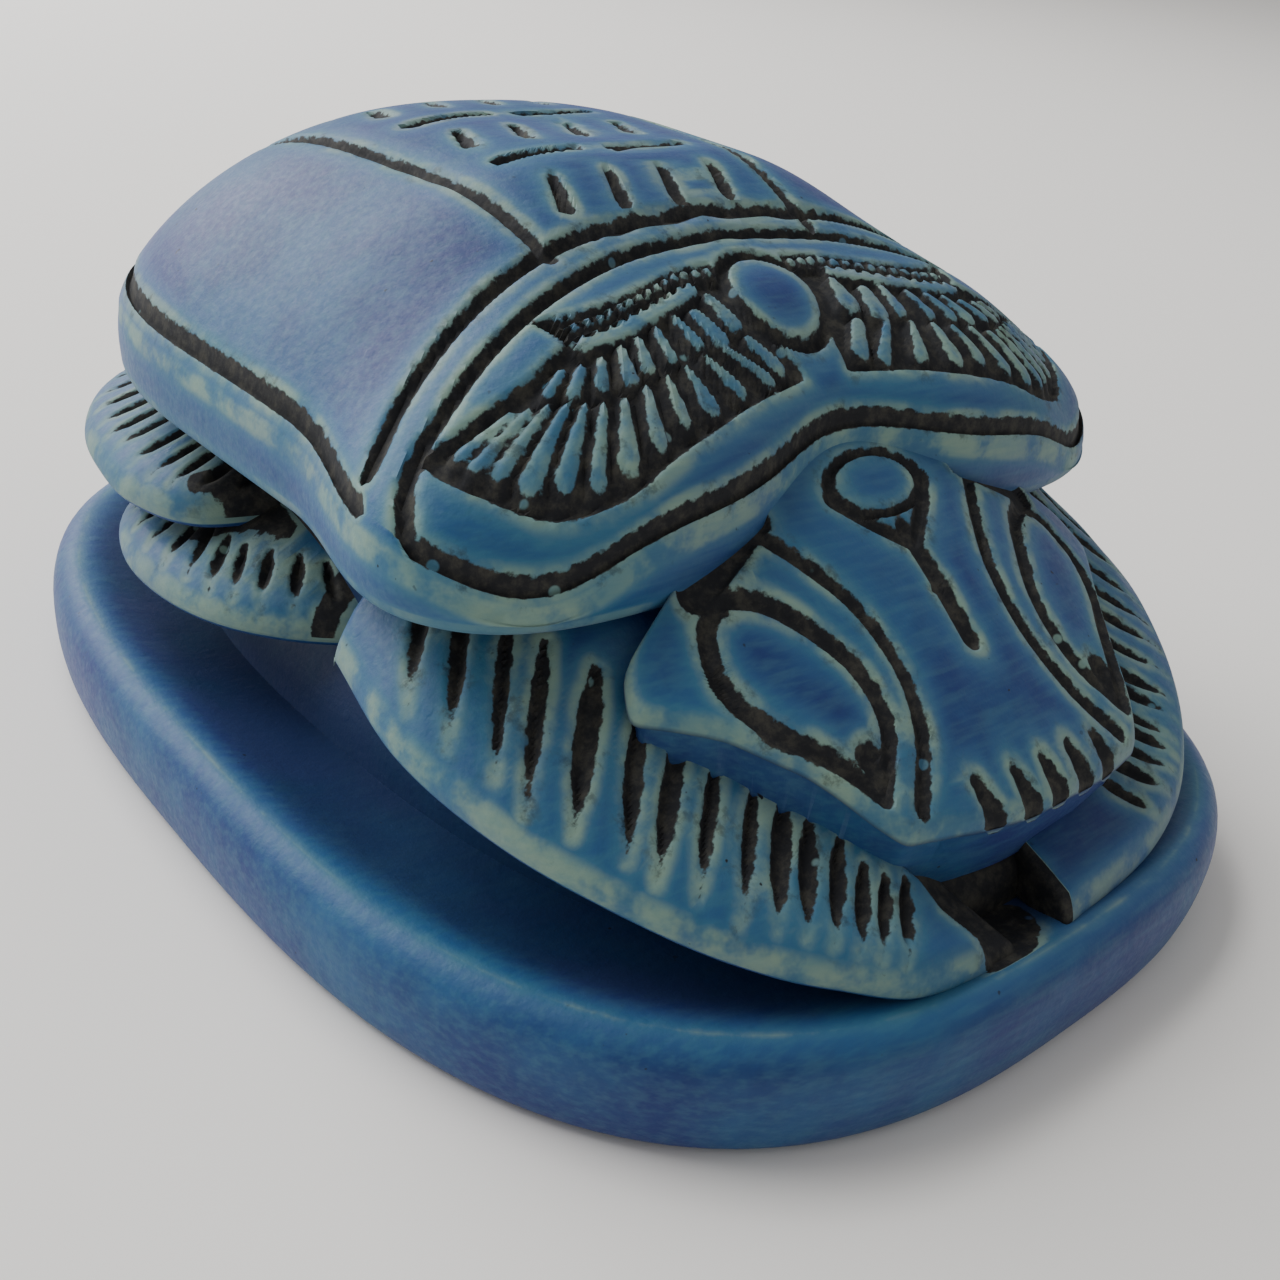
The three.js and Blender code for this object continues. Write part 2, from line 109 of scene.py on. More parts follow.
def cast_form(name, rings, paint, rim, navy_and_shade):
    """A closed mesh from rings of points in mm, as an array (ring, side, xyz): two triangles between each
    pair of neighbours on two rings, and a fan to a middle point at each end, turned so that they face out.
    The last three arguments give one value for each point, in the two UV maps that the glaze reads: the depth
    inside the paint, the distance from the nearest edge, and 1 where the glaze is painted navy as shade."""
    count, sides = rings.shape[:2]
    ends = np.stack([rings[0].mean(0), rings[-1].mean(0)])
    points = np.vstack([rings.reshape(-1, 3), ends]) * MM
    ring, side = np.meshgrid(np.arange(count - 1), np.arange(sides), indexing="ij")
    after = (side + 1) % sides
    here, above = ring * sides, (ring + 1) * sides
    first_half = np.stack([here + side, here + after, above + after], -1)
    other_half = np.stack([here + side, above + after, above + side], -1)
    turn = np.arange(sides)
    following = (turn + 1) % sides
    top = (count - 1) * sides
    low_fan = np.stack([following, turn, np.full(sides, count * sides)], -1)
    high_fan = np.stack([top + turn, top + following, np.full(sides, count * sides + 1)], -1)
    faces = np.vstack([first_half.reshape(-1, 3), other_half.reshape(-1, 3), low_fan, high_fan])
    corner = points[faces]
    volume = np.einsum("ij,ij->i", corner[:, 0], np.cross(corner[:, 1], corner[:, 2])).sum()
    if volume < 0:
        faces = faces[:, ::-1]
    mesh = bpy.data.meshes.new(name)
    mesh.from_pydata(points.tolist(), [], faces.tolist())
    corners = faces.ravel()
    for map_name, pair in (("carving", (paint, rim)), ("navy_and_shade", (navy_and_shade, np.zeros_like(navy_and_shade)))):
        values = [np.append(v.reshape(count, sides), [v[0].mean(), v[-1].mean()])[corners] for v in pair]
        uv_map = mesh.uv_layers.new(name=map_name)
        uv_map.data.foreach_set("uv", np.stack(values, -1).astype(np.float32).ravel())
    piece = bpy.data.objects.new(name, mesh)
    bpy.context.scene.collection.objects.link(piece)
    return piece


def from_segment(x, y, first, last):
    """How far along a segment, from 0 to 1, its nearest point to each place lies, and the distance to it."""
    ux, uy = last[0] - first[0], last[1] - first[1]
    t = np.clip(((x - first[0]) * ux + (y - first[1]) * uy) / (ux * ux + uy * uy + 1e-12), 0, 1)
    return t, np.hypot(x - first[0] - t * ux, y - first[1] - t * uy)


def inside_outline(x, y, outline):
    """Distance to a closed outline in plan, positive inside, by counting the crossings of a level line."""
    curve = np.vstack([outline, outline[:1]])
    best, crossings = np.full(x.shape, FAR), np.zeros(x.shape, dtype=int)
    for first, last in zip(curve[:-1], curve[1:]):
        best = np.minimum(best, from_segment(x, y, first, last)[1])
        level = (first[1] > y) != (last[1] > y)
        rise = last[1] - first[1]
        slope = (last[0] - first[0]) / (rise if abs(rise) > 1e-9 else 1e-9)
        crossings += level & (x < first[0] + slope * (y - first[1]))
    return np.where(crossings % 2 == 1, best, -best)


def base_plan(turn, inset):
    """Superellipse of power BASE_POWER, a little narrower at the rear, drawn in by inset."""
    across, along = superellipse(turn, BASE_POWER)
    taper = 1 - BASE_TAPER * along
    widest = (across * taper).max()
    return (HALF_WIDTH * taper / widest - inset) * across, (HALF_LENGTH - inset) * along


base_turn = np.linspace(0, 2 * np.pi, BASE_SIDES, endpoint=False)[None, :]
base_at = np.linspace(0, 1, BASE_RINGS)
base_profile = curve_through(BASE_PROFILE, base_at)
base_x, base_y = base_plan(base_turn, base_profile[:, :1])
base_z = np.broadcast_to(base_profile[:, 1:], base_x.shape)
base_rings = np.stack([base_x, base_y, base_z], -1)
step = np.linalg.norm(np.diff(base_profile, axis=0, prepend=base_profile[:1]), axis=1)
profile_length = np.cumsum(step)
rim_length = np.interp(RIM_AT, base_at, profile_length)
base_rim = np.broadcast_to(RIM_WEAR + np.abs(profile_length - rim_length)[:, None], base_x.shape)
on_top = base_at[:, None] > RIM_AT
# The dished top is painted navy inward from the rim, as shade under the legs.
base_shade_navy = np.broadcast_to(smooth(SHADE_FROM, SHADE_AT, base_profile[:, :1] * on_top), base_x.shape)
base_paint = np.maximum(np.where(on_top, inside_outline(base_x, base_y, HOLLOW), CLEAR), CLEAR)
base = cast_form("base_form", base_rings, base_paint, base_rim, base_shade_navy)

# Waist: the recessed core between the base, the legs and the shell, which closes the hollows between them.
# It is black above the middle legs and between the two front legs, and painted navy elsewhere, as shade
# under the legs and the shell. Each level of it is a height, a half-width, and where its front and its rear
# lie.
WAIST = [(4.6, 25, -38.5, 37), (8, 24.5, -38, 36.5), (14, 22.5, -31, 33), (24, 22, -21, 31)]
WAIST_POWER = 2.5
WAIST_SIDES = 96
WAIST_RINGS = 10
WAIST_PAINT = 5.0
WAIST_RIM = 9.0
SIDE_BLACK_Y = (-3.0, 2.0)
SIDE_BLACK_Z = (14.5, 16.0)
FRONT_BLACK_Y = (-30.0, -34.0)
FRONT_BLACK_X = -4.0
FRONT_BLACK_HALF_WIDTH = 7.0

waist_sizes = curve_through(WAIST, np.linspace(0, 1, WAIST_RINGS))
waist_turn = np.linspace(0, 2 * np.pi, WAIST_SIDES, endpoint=False)[None, :]
waist_z, waist_half, waist_front, waist_rear = (waist_sizes[:, k:k + 1] for k in range(4))
waist_across, waist_along = superellipse(waist_turn, WAIST_POWER)
waist_x = waist_half * waist_across
waist_y = (waist_front + waist_rear) / 2 + (waist_rear - waist_front) / 2 * waist_along
waist_rings = np.stack([waist_x, waist_y, np.broadcast_to(waist_z, waist_x.shape)], -1)
side_black = smooth(*SIDE_BLACK_Y, waist_y) * smooth(*SIDE_BLACK_Z, waist_z)
front_black = smooth(*FRONT_BLACK_Y, waist_y) * (np.abs(waist_x - FRONT_BLACK_X) < FRONT_BLACK_HALF_WIDTH)
waist_paint = CLEAR + WAIST_PAINT * np.maximum(side_black, front_black)
waist_rim = np.full_like(waist_x, WAIST_RIM)
# The whole waist is painted navy as shade, with the black paint over it.
waist = cast_form("waist_form", waist_rings, waist_paint, waist_rim, np.ones_like(waist_x))

# Legs: three pairs of sloping slabs that come out under the shell, each with a rounded lip at its outer
# edge and a row of leaf-shaped strokes cut across its top. The strokes are blunt inside and pointed outside.
# Paint fills the strokes, and ran into the corners between the middle leg and its neighbours.
LEGS = {
    "front": {
        "edge": [(29.6, -9.5, 18.8), (31, -18, 17.4), (29.6, -25.5, 15.8), (26.4, -31.2, 14),
                 (22.6, -35.6, 12.2), (18, -39, 10.6), (12.5, -41.4, 9.4), (2, -42.6, 8.5)],
        "root": [(20, -6, 26), (20, -15, 26), (15, -21, 22.4), (11, -26, 18), (9, -30, 15.4),
                 (8, -34, 13.2), (6, -36, 11.6), (3.3, -37, 10)],
        "thickness": 1.6, "strokes": 15, "span": (0.06, 0.81), "reach": (0.38, 0.92), "lean": 0.085,
        "stroke_width": 1.15, "stations": 230, "across": 44, "tip_shift": -2.2,
    },
    "middle": {
        "edge": [(20, -4, 14.2), (26, 1, 13.8), (29, 5.5, 13.6), (30.2, 11, 13.4), (29.6, 17.5, 13.2),
                 (26.6, 23.5, 13), (20, 27, 12.8)],
        "root": [(14, -2, 18), (18, 2, 18), (20, 6, 18), (21, 10, 18), (20.5, 14, 18), (19, 18, 18),
                 (14, 20, 17)],
        "thickness": 1.5, "strokes": 11, "span": (0.22, 0.86), "reach": (0.5, 0.92), "lean": -0.1,
        "stroke_width": 0.9, "stations": 150, "across": 32, "tip_shift": 0.0,
    },
    "hind": {
        "edge": [(20, 9, 18.2), (27.6, 11, 18.2), (29.6, 16, 18.1), (29, 22.5, 18), (27, 29, 17.8),
                 (22.6, 35.5, 17.4), (15, 40, 16.8), (2, 41.6, 16.4)],
        "root": [(18, 9, 22), (20, 12, 22), (20, 16, 22), (20, 21, 22), (18, 26, 22), (15, 30, 22),
                 (10, 33, 21), (1, 34, 20)],
        "thickness": 1.6, "strokes": 15, "span": (0.1, 0.9), "reach": (0.45, 0.92), "lean": 0.0,
        "stroke_width": 0.95, "stations": 190, "across": 32, "tip_shift": 0.0,
    },
}
TIP_START = 0.72
EDGE_START = 0.85
EDGE_DROP = 0.6
LIP_RADIUS = 0.85
FOOT_RADIUS = 0.5
STROKE_DEPTH = 0.6
STROKE_SLOPE = (-0.12, 0.5)
HOLLOW_DEPTH = 1.1
HOLLOW_SLOPE = (-0.1, 0.9)
LEG_SPILLS = [
    ((26.8, 12.0), (23.4, 9.6), 0.7, 1.3), ((23.4, 9.6), (23.0, 6.6), 1.3, 0.6),
    ((21.6, 0.8), (24.6, -0.2), 1.1, 0.7),
]
CUT_ERROR = {"place": 0.006, "inner": 0.04, "outer": 0.02, "width": 0.22}
LEAN_LOST = 0.6
LEAN_LOST_FROM = 0.5
LEAN_LOST_AT = 0.8
END_STATIONS = np.array([0, 0.001, 0.0025, 0.005, 0.008])
END_ROUNDING_RUN = 60.0
UNDER_REACH = [[0.85, 0.4, 0.0]]
UNDER_RIM = 3.0
FULL_PAINT = 1.0
LEG_TOP_NAVY = 0.1
rng = np.random.default_rng(11)


def leg_top(leg, side, at, reach):
    """Point of a leg's top: on the straight line from the root curve to the edge curve at the station at,
    lowered evenly over the last part before the edge, and moved sideways towards the tip."""
    root, edge = curve_through(leg["root"], at), curve_through(leg["edge"], at)
    p = root + (edge - root) * reach[..., None]
    p[..., 0] = side * p[..., 0] + leg["tip_shift"] * smooth(TIP_START, 1, at)
    p[..., 2] -= EDGE_DROP * np.maximum(0, reach - EDGE_START) / (1 - EDGE_START)
    return p


def leg_strokes(leg, side):
    """Inner and outer ends and half-width of each stroke of a leg, evenly spaced with small cutting errors.
    The strokes lean along the leg, and less so towards its tip."""
    count = leg["strokes"]
    jitter = rng.uniform(-1, 1, (4, count))
    at = np.linspace(*leg["span"], count) + CUT_ERROR["place"] * jitter[0]
    first = leg_top(leg, side, at, leg["reach"][0] + CUT_ERROR["inner"] * jitter[1])
    lean = leg["lean"] * (1 - LEAN_LOST * smooth(LEAN_LOST_FROM, LEAN_LOST_AT, at))
    last = leg_top(leg, side, at + lean, leg["reach"][1] + CUT_ERROR["outer"] * jitter[2])
    return first, last, leg["stroke_width"] / 2 * (1 + CUT_ERROR["width"] * jitter[3])


def island(x, y, first, last, half_first, half_last):
    """How far a point lies inside a tapering bar with round ends, in mm and negative outside: the bar's
    half-width beside the point, less the distance to the line between its ends."""
    t, distance = from_segment(x, y, first, last)
    return half_first + (half_last - half_first) * t - distance


def leg_spills(x, y):
    """Paint that ran into the corners between the middle leg and its neighbours."""
    away = np.abs(x)
    return np.maximum.reduce([island(away, y, *spill) for spill in LEG_SPILLS])


def stroke_marks(points, first, last, half_width):
    """How far each point lies inside the nearest stroke, in mm and negative outside: the stroke's half-width
    there, blunt at the first end and tapering to the last, less the distance to the line between its ends."""
    best = np.full(points.shape[:-1], CLEAR)
    for a, b, half in zip(first, last, half_width):
        line = b - a
        t = np.clip((points - a) @ line / (line @ line), 0, 1)
        distance = np.linalg.norm(points - a - t[..., None] * line, axis=-1)
        width = half * (0.55 + 0.45 * smooth(0, 0.25, t)) * (1 - smooth(0.45, 1.05, t) ** 1.3)
        best = np.maximum(best, width - distance)
    return best


def make_leg(name, leg, side):
    """One closed leg: at each station a loop over its top, round the lip, down the edge and back beneath."""
    middle = np.linspace(0.011, 0.989, leg["stations"])
    at = np.concatenate([END_STATIONS, middle, 1 - END_STATIONS[::-1]])[:, None]
    slope = curve_through(leg["edge"], at[:, 0]) - curve_through(leg["root"], at[:, 0])
    length = np.linalg.norm(slope, axis=-1, keepdims=True)
    bend = np.linspace(0, np.pi / 2, 6)[None, :]
    lip_reach = 1 - LIP_RADIUS * (1 - np.sin(bend)) / length
    foot_reach = 1 - FOOT_RADIUS * (1 - np.cos(bend)) / length
    flat_reach = np.linspace(0, 1, leg["across"])[None, :-1] * lip_reach[:, :1]
    under_reach = np.array(UNDER_REACH) + 0 * at
    reach = np.hstack([flat_reach, lip_reach, foot_reach, under_reach])
    rings = leg_top(leg, side, at + 0 * reach, reach)
    top = flat_reach.shape[1] + bend.size
    drop = np.hstack([0 * flat_reach, LIP_RADIUS * (1 - np.cos(bend)) + 0 * at])
    edge_height = leg_top(leg, side, at, np.ones_like(at))[..., 2]
    foot = np.hstack([FOOT_RADIUS * (1 - np.sin(bend)) + 0 * at, 0 * under_reach])
    from_end = np.minimum(at, 1 - at) * END_ROUNDING_RUN
    short_of_lip = np.maximum(LIP_RADIUS - from_end, 0)
    drop = drop + LIP_RADIUS - np.sqrt(np.maximum(LIP_RADIUS**2 - short_of_lip**2, 0))
    top_points = rings[:, :top]
    marks = stroke_marks(top_points, *leg_strokes(leg, side))
    hollow = inside_outline(top_points[..., 0], top_points[..., 1], HOLLOW)
    normal = np.cross(np.gradient(top_points, axis=0), np.gradient(top_points, axis=1))
    normal *= np.sign(normal[..., 2:]) / np.maximum(np.linalg.norm(normal, axis=-1, keepdims=True), 1e-9)
    rings[:, :top] -= normal * (STROKE_DEPTH * smooth(*STROKE_SLOPE, marks))[..., None]
    rings[:, :top, 2] -= drop + HOLLOW_DEPTH * smooth(*HOLLOW_SLOPE, hollow)
    rings[:, top:, 2] = edge_height - leg["thickness"] + foot
    spills = leg_spills(rings[:, :top, 0], rings[:, :top, 1])
    paint = np.full(rings.shape[:2], CLEAR)
    paint[:, :top] = np.maximum.reduce([marks, hollow, spills])
    beneath = top + bend.size
    if name.startswith("hind"):
        paint[:, beneath:] = FULL_PAINT
    if name.startswith("front"):
        paint[-END_STATIONS.size:] = FULL_PAINT
    rim = np.abs(1 - reach) * length
    rim[:, top + 2:] = UNDER_RIM
    # A little navy tone on the leg's top, and full navy beneath it as painted shade.
    navy_and_shade = np.full_like(rim, LEG_TOP_NAVY)
    navy_and_shade[:, beneath:] = 1.0
    if side < 0:
        rings, paint, rim, navy_and_shade = rings[:, ::-1], paint[:, ::-1], rim[:, ::-1], navy_and_shade[:, ::-1]
    return cast_form(name, rings, paint, rim, navy_and_shade)


legs = [make_leg(f"{name}_leg_form_{side}", leg, side) for name, leg in LEGS.items() for side in (-1, 1)]

# Shell: the domed wing case and the pronotum in front of it, one form with an upright band round its edge.
# A seam is cut above the band, two lines behind the wings, a panel along the back, and a winged disc. A
# name ending in _Y with two numbers is where a change starts and ends, in mm ahead of the casting's middle.
SHELL_CENTRE_Y = 10.5
SHELL_HALF_WIDTH = 28.5
PRONOTUM_WIDENING = 3.4
WIDENING_Y = (2.0, 17.0)
SHELL_REAR = 27.5
SHELL_FRONT = 33.0
REAR_POWER = 2.43
FRONT_POWER = 6.4
NOTCH_DEPTH = 3.2
NOTCH_WIDTH = 8.0
NOTCH_Y = (8.0, 20.0)
BAND_BOTTOM_Z = 22.8
BAND_TOP_Z = 26.8
BAND_ROUNDING = 0.8
BAND_TOP_RISE = 2.0
BAND_RISE_WIDTH = 10.0
BAND_CHANGE_Y = (0.0, 20.0)
LOBE_DROP = 3.2
LOBE_X = 24.9
LOBE_WIDTH = 5.8
CREST_Z = 42.2
CREST_DROP = 0.17
CREST_DROP_Y = (-3.0, 10.0)
FLAT_REACH = 0.3
FLAT_POWER = 6
DOME_POWERS = {"rear": (2.35, 1.34), "front": (2.1, 1.8)}
DOME_CHANGE_Y = (0.0, 14.0)
FRONT_SIDES = 300
REAR_SIDES = 120
RIM_REACH = 0.998
SEAM_REACH = {"side": 0.971, "front": 0.986}
SEAM_HALF_WIDTH = 0.62
SEAM_GAPS = (1.213 * np.pi, 1.787 * np.pi)
SEAM_GAP_TURN = (0.015, 0.05)
SEAM_DEPTH = 0.8
SEAM_SLOPE = (-0.1, 0.55)
LINE_DEPTH = 0.75
LINE_SLOPE = (-0.12, 0.45)
REAR_LINE_HALF_WIDTH = 0.55
FRONT_LINE_HALF_WIDTH = 0.5
REAR_LINE = [(0, -4), (11, -5.2), (20, -7.2), (25.2, -9), (29, -11.4)]
FRONT_LINE = [(0, -6.2), (9, -7.2), (18.6, -9.9), (24.2, -11.8), (28.4, -14), (30, -16.4)]
PANEL_HALF_WIDTH = 11.2
PANEL_SHIFT = -2.5
PANEL_FRONT_Y = -5.0
PANEL_REAR_Y = 33.0
PANEL_LINE_HALF_WIDTH = 0.5
ROW_COUNT = 6
ROW_PITCH = 5.0
FIRST_ROW_Y = PANEL_FRONT_Y + 3.6
ROW_MARGIN = 2.0
UPRIGHT_STROKES = 4
LEVEL_STROKES = 2
UPRIGHT_HALF = (0.5, 1.4)
LEVEL_HALF = (0.36, 0.2)
STROKE_HALF_WIDTHS = (0.6, 0.4)
DISC_Y = -11.8
DISC_RADIUS = 3.1
DISC_RING = 1.0
DISC_SQUASH = 0.95
WING_TOP = [(3.2, -8.7), (6.8, -9.1), (10.9, -10.3), (14.7, -10.9), (18.2, -10.3)]
WING_LEADING_EDGE = [(17.5, -12.7), (20.5, -13.6), (23.2, -13.6), (25.7, -13.6), (27.6, -13.4)]
WING_FOOT = [(27.6, -13.4), (27.2, -15.2), (25.6, -17.5), (23.1, -19.6), (19, -20.7), (15.2, -20.2),
             (11.2, -19.4), (6.6, -18.2), (2, -17.1)]
LOWER_ROOTS = [(22.5, -14.7), (20.9, -15.4), (19.2, -16.2), (17.4, -16.9), (14.2, -16.6), (11, -16),
               (7.4, -15.2)]
LOWER_TIPS = [(26.2, -14.8), (25.2, -16.6), (22.6, -18.6), (19.4, -19.8), (15.2, -19.2), (10.8, -18.4),
              (5.2, -17.2)]
UPPER_ROOTS = [(18.9, -14.2), (17.1, -14.5), (14.6, -14.1), (12.3, -13.6), (9.4, -12.7)]
UPPER_TIPS = [(20.4, -14.9), (18.4, -15.8), (15.4, -16), (13, -15.6), (9.2, -14.9)]
STRIP = [(16.6, -13.2), (14.3, -13.1), (11.6, -12.4), (9.1, -11.7), (6.4, -10.8)]
FEATHER_ROWS = [
    {"roots": LOWER_ROOTS, "tips": LOWER_TIPS, "count": 12, "root_half": 0.2, "tip_half": 0.6},
    {"roots": UPPER_ROOTS, "tips": UPPER_TIPS, "count": 7, "root_half": 0.24, "tip_half": 0.5},
]
STRIP_STEP = 1.0
STRIP_NOTCH = 0.14
STRIP_HALF_ABOVE = 0.5
STRIP_HALF_BELOW = 0.42
SCALE_PITCH = 0.95
SCALE_HALF = 0.24
SCALES_FROM = 0.75
SCALES_END_X = 17.0
NEAR_DISC = [((5.6, -11.6), (5.4, -13.4), 0.35, 0.75), ((4.9, -14.9), (3.9, -16.2), 0.45, 0.6),
             ((7.6, -12.8), (7.3, -14.4), 0.5, 0.7)]


def shell_half_width(y):
    """Half-width before the corners are rounded: a little more over the pronotum."""
    return SHELL_HALF_WIDTH + PRONOTUM_WIDENING * smooth(*WIDENING_Y, -y)


def shell_notch(x, y):
    """How far the front edge is set back at the middle, as a bell curve across."""
    return NOTCH_DEPTH * np.exp(-((x / NOTCH_WIDTH) ** 2)) * smooth(*NOTCH_Y, -y)


def shell_plan(turn, reach):
    """Plan of the shell at a share of its reach: a superellipse, squarer in front, with the notch added."""
    front = np.sin(turn) < 0
    across, along = superellipse(turn, np.where(front, FRONT_POWER, REAR_POWER))
    y = SHELL_CENTRE_Y + reach * np.where(front, SHELL_FRONT, SHELL_REAR) * along
    x = reach * shell_half_width(y) * across
    return x, y + shell_notch(x, y)


def band_top(x, y):
    """Height of the band's top: higher at the middle of the front, lower on its two lobes."""
    middle = BAND_TOP_RISE * np.exp(-((x / BAND_RISE_WIDTH) ** 2))
    lobe = LOBE_DROP * np.exp(-(((np.abs(x) - LOBE_X) / LOBE_WIDTH) ** 2))
    return BAND_TOP_Z + (middle - lobe) * smooth(*BAND_CHANGE_Y, -y)


def shell_top(x, y, reach):
    """Dome over the band: the rise is the outer root of one less the reach to the inner power, and both
    powers change from the rear to the front. Inside FLAT_REACH the top is nearly level."""
    inner, outer = (rear + (front - rear) * smooth(*DOME_CHANGE_Y, -y)
                    for rear, front in zip(DOME_POWERS["rear"], DOME_POWERS["front"]))
    flattened = (reach**FLAT_POWER + FLAT_REACH**FLAT_POWER) ** (1 / FLAT_POWER)
    rise = np.maximum(1 - flattened**inner, 0) ** (1 / outer)
    crest = 1 - CREST_DROP * smooth(*CREST_DROP_Y, -y)
    return band_top(x, y) + (CREST_Z - band_top(x, y)) * crest * rise


def dome_point(reach):
    """Points of the dome at a share of the shell's reach, in every direction round it."""
    x, y = shell_plan(shell_turn, reach)
    return np.stack([x, y, shell_top(x, y, reach)], -1)


def line_distance(x, y, points, steps=40):
    """Distance in plan from each point to a curve through points, as the least over its short pieces."""
    curve = curve_through(points, np.linspace(0, 1, steps))
    best = np.full(x.shape, FAR)
    for first, last in zip(curve[:-1], curve[1:]):
        best = np.minimum(best, from_segment(x, y, first, last)[1])
    return best


def wing_marks(x, y):
    """Paint of one wing, drawn for x above 0: inside the wing's outline but outside its raised parts, which
    are two rows of feathers, a stepped strip above them, rows of low scales and three pieces near the disc.
    The feathers vary a little in length and width, and those at the wing's end are narrower."""
    outline = np.vstack([curve_through(WING_TOP, np.linspace(0, 1, 30)), WING_LEADING_EDGE,
                         curve_through(WING_FOOT, np.linspace(0, 1, 50))[1:]])
    field = inside_outline(x, y, outline)
    strip_away = line_distance(x, y, STRIP)
    above = y - np.interp(x, *np.array(STRIP[::-1]).T)
    steps = STRIP_NOTCH * np.sign(np.sin(2 * np.pi * x / STRIP_STEP))
    raised = np.where(above > 0, STRIP_HALF_ABOVE + steps, STRIP_HALF_BELOW) - strip_away
    for feathers in FEATHER_ROWS:
        at = np.linspace(0, 1, feathers["count"])
        ends = zip(curve_through(feathers["roots"], at), curve_through(feathers["tips"], at))
        for k, (root, tip) in enumerate(ends):
            last = root + (0.88 + 0.05 * (k % 2)) * (tip - root)
            last_half = feathers["tip_half"] * (1 - 0.12 * (k % 3)) * (0.55 + 0.45 * smooth(0, 0.3, at[k]))
            raised = np.maximum(raised, island(x, y, root, last, feathers["root_half"], last_half))
    for piece in NEAR_DISC:
        raised = np.maximum(raised, island(x, y, *piece))
    row = np.floor(above / SCALE_PITCH)
    across = np.abs((x / SCALE_PITCH + row / 2) % 1 - 0.5) * SCALE_PITCH
    along = np.abs((above / SCALE_PITCH) % 1 - 0.5) * SCALE_PITCH
    scaled = (above > SCALES_FROM) & (x < SCALES_END_X)
    scales = np.where(scaled, SCALE_HALF - np.maximum(across, along), CLEAR)
    return np.minimum(field, -np.maximum(raised, scales))


def panel_marks(x, y):
    """Paint of the panel along the back: two long sides, and rows of strokes between them, by turns short
    upright ones and longer level ones, each of which leans a little."""
    best = np.full(x.shape, CLEAR)
    for side in (-1, 1):
        edge = PANEL_SHIFT + side * PANEL_HALF_WIDTH
        path = [(edge, PANEL_FRONT_Y - 1.2), (edge + side, PANEL_REAR_Y / 2), (edge, PANEL_REAR_Y)]
        best = np.maximum(best, PANEL_LINE_HALF_WIDTH - line_distance(x, y, path, 16))
    for row in range(ROW_COUNT):
        upright = row % 2 == 0
        count = UPRIGHT_STROKES if upright else LEVEL_STROKES
        pitch = 2 * (PANEL_HALF_WIDTH - ROW_MARGIN) / count
        half_x, half_y = UPRIGHT_HALF if upright else (LEVEL_HALF[0] * pitch, LEVEL_HALF[1])
        for k in range(count):
            middle_x = PANEL_SHIFT + (k - (count - 1) / 2) * pitch
            middle_y = FIRST_ROW_Y + row * ROW_PITCH
            first = (middle_x - half_x, middle_y - half_y)
            last = (middle_x + half_x, middle_y + half_y)
            best = np.maximum(best, island(x, y, first, last, *STROKE_HALF_WIDTHS))
    return best


def shell_marks(x, y):
    """Paint on top of the shell inside the seam: lines, panel, disc ring and the two wings."""
    rear = REAR_LINE_HALF_WIDTH - line_distance(np.abs(x), y, REAR_LINE)
    front = FRONT_LINE_HALF_WIDTH - line_distance(np.abs(x), y, FRONT_LINE)
    off_disc = np.hypot(x, (y - DISC_Y) / DISC_SQUASH) - DISC_RADIUS
    ring = DISC_RING / 2 - np.abs(off_disc - DISC_RING / 2)
    wings = np.minimum(wing_marks(np.abs(x), y), off_disc)
    return np.maximum.reduce([rear, front, ring, wings, panel_marks(x, y)])


shell_turn = np.concatenate([np.linspace(0, np.pi, REAR_SIDES, endpoint=False),
                             np.linspace(np.pi, 2 * np.pi, FRONT_SIDES, endpoint=False)])[None, :]
dome_reach = np.concatenate([np.linspace(RIM_REACH, 0.955, 22), np.linspace(0.952, 0.5, 74),
                             np.linspace(0.49, 0.02, 30)])[:, None]
dome = dome_point(dome_reach)
dome_x, dome_y = dome[..., 0], dome[..., 1]
dome_rim = np.cumsum(np.linalg.norm(np.diff(dome, axis=0, prepend=dome[:1]), axis=-1), axis=0)
forward = smooth(*DOME_CHANGE_Y, -shell_plan(shell_turn, SEAM_REACH["side"])[1])
seam_reach = SEAM_REACH["side"] + (SEAM_REACH["front"] - SEAM_REACH["side"]) * forward
nudge = 0.004
run_across_seam = dome_point(seam_reach + nudge) - dome_point(seam_reach - nudge)
spread = np.linalg.norm(run_across_seam, axis=-1) / (2 * nudge)
from_gap = np.minimum(*(np.abs(shell_turn - gap) for gap in SEAM_GAPS))
seam = SEAM_HALF_WIDTH - np.abs(dome_reach - seam_reach) * spread
seam = seam - 2 * (1 - smooth(*SEAM_GAP_TURN, from_gap))
dome_field = np.where(dome_reach < seam_reach, shell_marks(dome_x, dome_y), CLEAR)
dome[..., 2] -= SEAM_DEPTH * smooth(*SEAM_SLOPE, seam) + LINE_DEPTH * smooth(*LINE_SLOPE, dome_field)

# The underside rises a little towards its middle, and turns into the band by a quarter circle. The band
# swells a little halfway up.
band_bend = np.linspace(0, np.pi / 2, 7)[:, None]
under_reach = np.vstack([[[0.6], [0.85], [0.93]], RIM_REACH - 0.02 * (1 - np.sin(band_bend))])
under_lift = np.vstack([[[1.2], [0.8], [0.2]], BAND_ROUNDING * (1 - np.cos(band_bend))])
under_x, under_y = shell_plan(shell_turn, under_reach)
under_z = np.broadcast_to(BAND_BOTTOM_Z + under_lift, under_x.shape)
band_lift = np.linspace(0.15, 0.9, 9)[:, None]
band_x, band_y = shell_plan(shell_turn, RIM_REACH + 0.004 * np.sin(np.pi * band_lift))
band_foot_z = BAND_BOTTOM_Z + BAND_ROUNDING
band_z = band_foot_z + (band_top(band_x, band_y) - band_foot_z) * band_lift
under_rings, band_rings = np.stack([under_x, under_y, under_z], -1), np.stack([band_x, band_y, band_z], -1)
